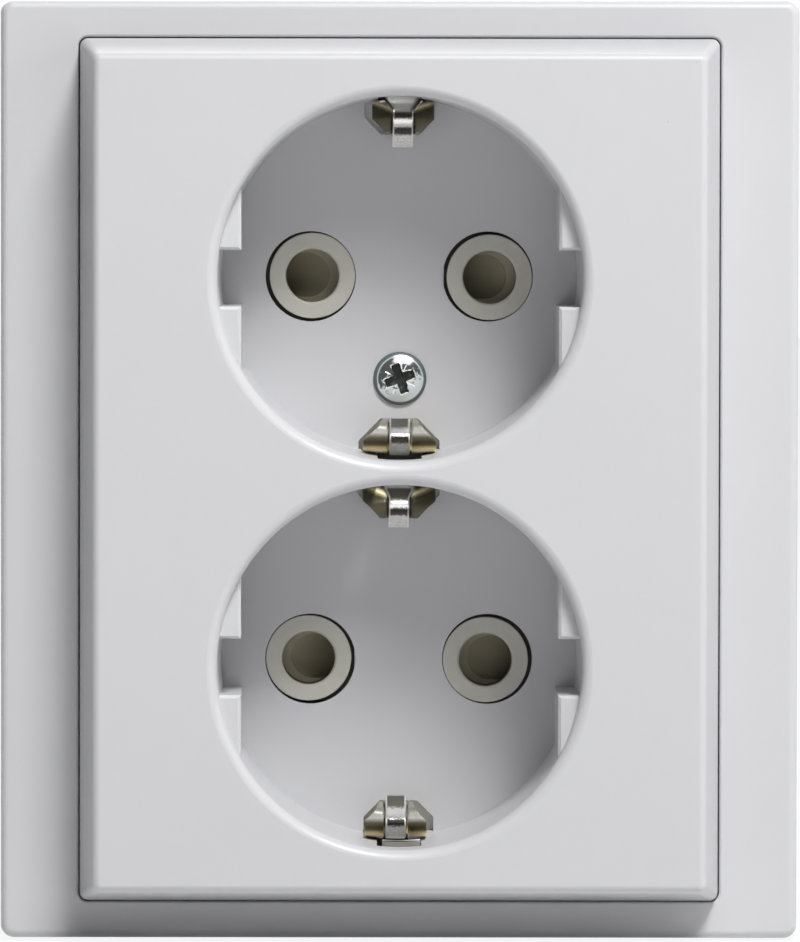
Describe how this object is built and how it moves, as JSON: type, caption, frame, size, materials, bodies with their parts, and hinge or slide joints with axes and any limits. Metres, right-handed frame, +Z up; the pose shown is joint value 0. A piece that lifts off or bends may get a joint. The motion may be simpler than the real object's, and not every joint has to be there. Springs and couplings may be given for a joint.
{
  "type": "double wall socket",
  "caption": "Double wall socket: tapered cover with round wells, earth clips and sprung shutters, in a flat surround with a rear insert for a wall box.",
  "frame": {"origin": "on the wall plane, midway between the slots for the wall-box screws, in the middle of the surround", "axes": "+X to the viewer's right, +Z up, -Y to the front, +Y into the wall"},
  "size_m": [0.085, 0.044, 0.1],
  "materials": {
    "white_plastic": "smooth",
    "beige_plastic": "fine grain",
    "shutter_plastic": "fine grain",
    "grey_plastic": "fine grain",
    "button_plastic": "fine grain",
    "nickel_strip": "nickel plated, worn",
    "screw_steel": "zinc plated",
    "plated_steel": "zinc plated",
    "spring_steel": "bright",
    "contact_brass": "bright"
  },
  "bodies": {
    "socket": {"frame": "white_plastic", "cover_plate": "white_plastic", "cover_screw": "screw_steel", "pin_guide": "beige_plastic", "earth_strip": "nickel_strip", "support_plate": "plated_steel", "base": "grey_plastic", "contact_cover": "grey_plastic", "upper_shutter_spring": "spring_steel", "lower_shutter_spring": "spring_steel", "line_contact": "contact_brass", "neutral_contact": "contact_brass", "line_clamp_springs": "spring_steel", "neutral_clamp_springs": "spring_steel", "earth_clamp_springs": "spring_steel"},
    "upper_shutter": {"upper_shutter": "shutter_plastic"},
    "lower_shutter": {"lower_shutter": "shutter_plastic"},
    "line_button": {"line_release_button": "button_plastic"},
    "neutral_button": {"neutral_release_button": "button_plastic"},
    "earth_button": {"earth_release_button": "button_plastic"}
  },
  "joints": [
    {"name": "upper_shutter_slide", "type": "slide", "parent": "socket", "child": "upper_shutter", "axis": [1, 0, -0.0087], "range_m": [0, 0.006], "stiffness_N_per_m": 100, "springref_m": -0.004, "deforming": ["upper_shutter_spring"]},
    {"name": "lower_shutter_slide", "type": "slide", "parent": "socket", "child": "lower_shutter", "axis": [-1, 0, 0.0087], "range_m": [0, 0.006], "stiffness_N_per_m": 100, "springref_m": -0.004, "deforming": ["lower_shutter_spring"]},
    {"name": "line_button_slide", "type": "slide", "parent": "socket", "child": "line_button", "axis": [0, -1, 0], "range_m": [0, 0.0015], "stiffness_N_per_m": 500, "springref_m": -0.001, "deforming": ["line_clamp_springs"]},
    {"name": "neutral_button_slide", "type": "slide", "parent": "socket", "child": "neutral_button", "axis": [0, -1, 0], "range_m": [0, 0.0015], "stiffness_N_per_m": 500, "springref_m": -0.001, "deforming": ["neutral_clamp_springs"]},
    {"name": "earth_button_slide", "type": "slide", "parent": "socket", "child": "earth_button", "axis": [0, -1, 0], "range_m": [0, 0.0015], "stiffness_N_per_m": 500, "springref_m": -0.001, "deforming": ["earth_clamp_springs"]}
  ]
}
